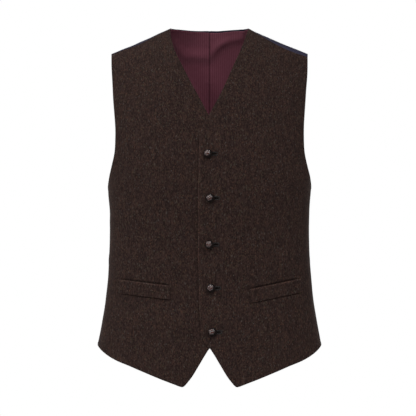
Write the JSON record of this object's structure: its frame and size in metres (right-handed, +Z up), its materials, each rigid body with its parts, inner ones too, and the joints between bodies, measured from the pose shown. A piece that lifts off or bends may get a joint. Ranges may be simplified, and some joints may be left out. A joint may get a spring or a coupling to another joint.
{
  "type": "suit waistcoat",
  "caption": "Hollow worn-form single-breasted V-neck suit waistcoat in brown tweed with a satin back, pinstriped lining, slanted welt pockets and leather knot buttons.",
  "frame": {"origin": "midway between the shoulders, at the height where the wearer's shoulders carry the garment", "axes": "+Z up, +Y towards the wearer's back, +X to the wearer's left; the fronts face -Y"},
  "size_m": [0.4108, 0.2537, 0.6488],
  "materials": {
    "tweed": "dark brown wool tweed with fine rust, olive and grey flecks, matt with a soft nap",
    "back_satin": "dark navy satin back cloth with a soft sheen",
    "lining": "burgundy lining with fine woven pinstripes and a low sheen",
    "leather": "dark brown woven leather knots, polished on the high points"
  },
  "bodies": {
    "root": {"front_left": "tweed", "front_right": "tweed", "welt_left": "tweed", "welt_right": "tweed", "back_left": "back_satin", "back_right": "back_satin", "lining_left": "lining", "lining_right": "lining", "button_1": "leather", "button_2": "leather", "button_3": "leather", "button_4": "leather", "button_5": "leather"}
  },
  "joints": []
}
